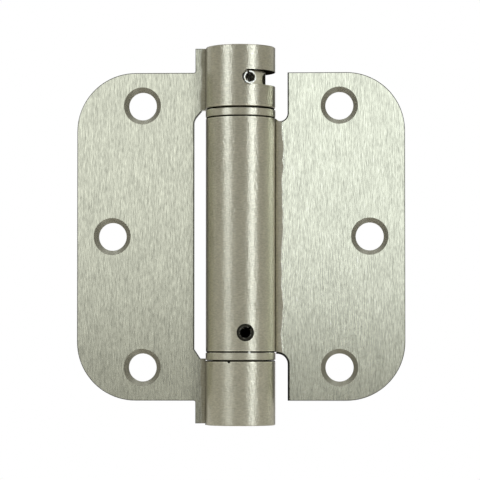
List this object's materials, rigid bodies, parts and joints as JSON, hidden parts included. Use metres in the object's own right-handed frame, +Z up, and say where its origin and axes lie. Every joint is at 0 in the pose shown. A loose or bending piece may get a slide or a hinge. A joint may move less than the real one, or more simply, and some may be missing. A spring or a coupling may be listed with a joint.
{
  "type": "spring loaded door hinge",
  "caption": "Self-closing butt hinge with round-cornered leaves, a torsion spring in the long knuckle, and a winding plug with a pin in a slotted top knuckle.",
  "frame": {"origin": "on the turning axis, half way up the barrel", "axes": "+Z up along the barrel, +X towards the door leaf with the hinge lying open and flat, -Y out of the face that the screws are sunk in"},
  "size_m": [0.0888, 0.0194, 0.102],
  "materials": {
    "satin_nickel": "satin nickel plate, brushed",
    "turned_steel": "turned and nickel plated",
    "dark_pin_steel": "phosphated, dark",
    "spring_steel": "oiled spring wire"
  },
  "bodies": {
    "frame": {"frame_leaf": "satin_nickel", "pivot_plug": "turned_steel"},
    "door": {"door_leaf": "satin_nickel", "upper_bearing": "satin_nickel", "lower_bearing": "satin_nickel", "spring_anchor": "turned_steel", "anchor_pin": "dark_pin_steel", "torsion_spring": "spring_steel"},
    "adjuster": {"adjusting_plug": "turned_steel", "tension_pin": "turned_steel"}
  },
  "joints": [
    {"name": "leaf_swing", "type": "hinge", "parent": "frame", "child": "door", "pos_m": [0, 0, 0], "axis": [0, 0, -1], "range_deg": [0, 180], "stiffness_Nm_per_rad": 0.78, "deforming": ["torsion_spring"]},
    {"name": "tension_turn", "type": "hinge", "parent": "frame", "child": "adjuster", "pos_m": [0, 0, 0.0421], "axis": [0, 0, 1], "range_deg": [0, 120], "deforming": ["torsion_spring"]}
  ]
}
